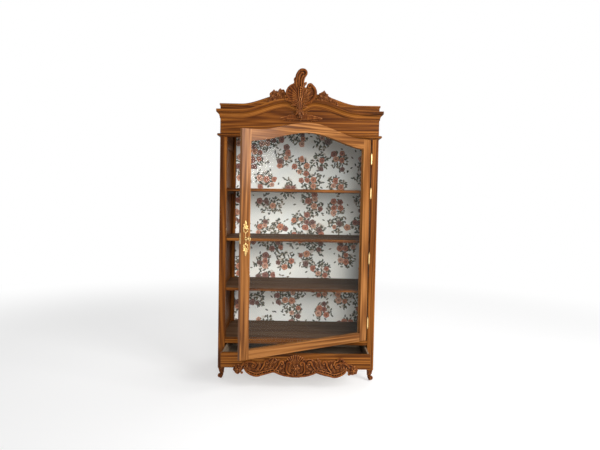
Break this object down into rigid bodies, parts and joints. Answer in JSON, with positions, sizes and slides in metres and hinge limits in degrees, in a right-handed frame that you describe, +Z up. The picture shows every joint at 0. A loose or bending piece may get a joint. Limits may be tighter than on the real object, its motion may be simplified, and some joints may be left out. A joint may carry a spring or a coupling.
{
  "type": "china cabinet",
  "caption": "Tall carved wooden display cabinet with a glazed door on the right, shelves over a lined back, a drawer with a carved apron and a curved crested cornice.",
  "frame": {"origin": "on the floor under the middle of the cabinet's box, as it stands with its door and drawer open", "axes": "+Z up, +X to the right seen from the front, front faces -Y"},
  "size_m": [1.19, 1.2204, 2.2426],
  "materials": {
    "case_wood": "satin polished walnut, strong grain",
    "door_wood": "satin polished walnut, lighter than the case",
    "carved_wood": "waxed dark reddish walnut with polished high spots",
    "inside_wood": "plain matt walnut",
    "brass": "polished brass, slightly worn",
    "glass": "clear",
    "lining": "printed cotton with rose sprays on a pale ground"
  },
  "bodies": {
    "cabinet": {"front_post_left": "case_wood", "front_post_right": "case_wood", "back_post_left": "case_wood", "back_post_right": "case_wood", "front_foot_left": "carved_wood", "front_foot_right": "carved_wood", "side_bottom_rail_left": "case_wood", "side_bottom_rail_right": "case_wood", "side_top_rail_left": "case_wood", "side_top_rail_right": "case_wood", "side_panel_left": "inside_wood", "side_panel_right": "inside_wood", "floor_board": "inside_wood", "drawer_head_rail": "case_wood", "roof_board": "inside_wood", "shelf_1": "inside_wood", "shelf_2": "inside_wood", "shelf_3": "inside_wood", "shelf_cleat_1_left": "inside_wood", "shelf_cleat_1_right": "inside_wood", "shelf_cleat_2_left": "inside_wood", "shelf_cleat_2_right": "inside_wood", "shelf_cleat_3_left": "inside_wood", "shelf_cleat_3_right": "inside_wood", "back_board": "inside_wood", "fabric_lining": "lining", "pediment_board": "case_wood", "cornice": "case_wood", "cap_moulding": "case_wood", "astragal": "case_wood", "crest": "carved_wood", "crest_spray_left": "carved_wood", "crest_spray_right": "carved_wood", "drawer_runner_left": "inside_wood", "drawer_runner_right": "inside_wood", "strike_plate": "brass", "post_hinge_1": "brass", "post_hinge_2": "brass", "post_hinge_3": "brass", "post_hinge_4": "brass"},
    "door": {"door_stile_lock": "door_wood", "door_stile_hinge": "door_wood", "door_bottom_rail": "door_wood", "door_top_rail": "door_wood", "door_glass": "glass", "glazing_bead": "door_wood", "escutcheon": "brass", "lock_case": "brass", "door_hinge_1": "brass", "door_hinge_2": "brass", "door_hinge_3": "brass", "door_hinge_4": "brass"},
    "lock_bolt": {"lock_bolt": "brass"},
    "key": {"key": "brass"},
    "drawer": {"drawer_front": "case_wood", "drawer_apron": "carved_wood", "drawer_side_left": "inside_wood", "drawer_side_right": "inside_wood", "drawer_back": "inside_wood", "drawer_bottom": "inside_wood"}
  },
  "joints": [
    {"name": "door_hinge", "type": "hinge", "parent": "cabinet", "child": "door", "pos_m": [0.5165, -0.01733, 1.028], "axis": [0, 0, 1], "range_deg": [-33, 137]},
    {"name": "key_turn", "type": "hinge", "parent": "door", "child": "key", "pos_m": [-0.31059, -0.57889, 1.073], "axis": [-0.5446, 0.8387, 0], "range_deg": [0, 90]},
    {"name": "bolt_slide", "type": "slide", "parent": "door", "child": "lock_bolt", "axis": [-0.8387, -0.5446, 0], "range_m": [0, 0.01]},
    {"name": "drawer_slide", "type": "slide", "parent": "cabinet", "child": "drawer", "axis": [0, -1, 0], "range_m": [-0.233, 0.15]}
  ],
  "couplings": [
    {"joint": "bolt_slide", "follows": "key_turn", "m_per_rad": 0.00636}
  ]
}
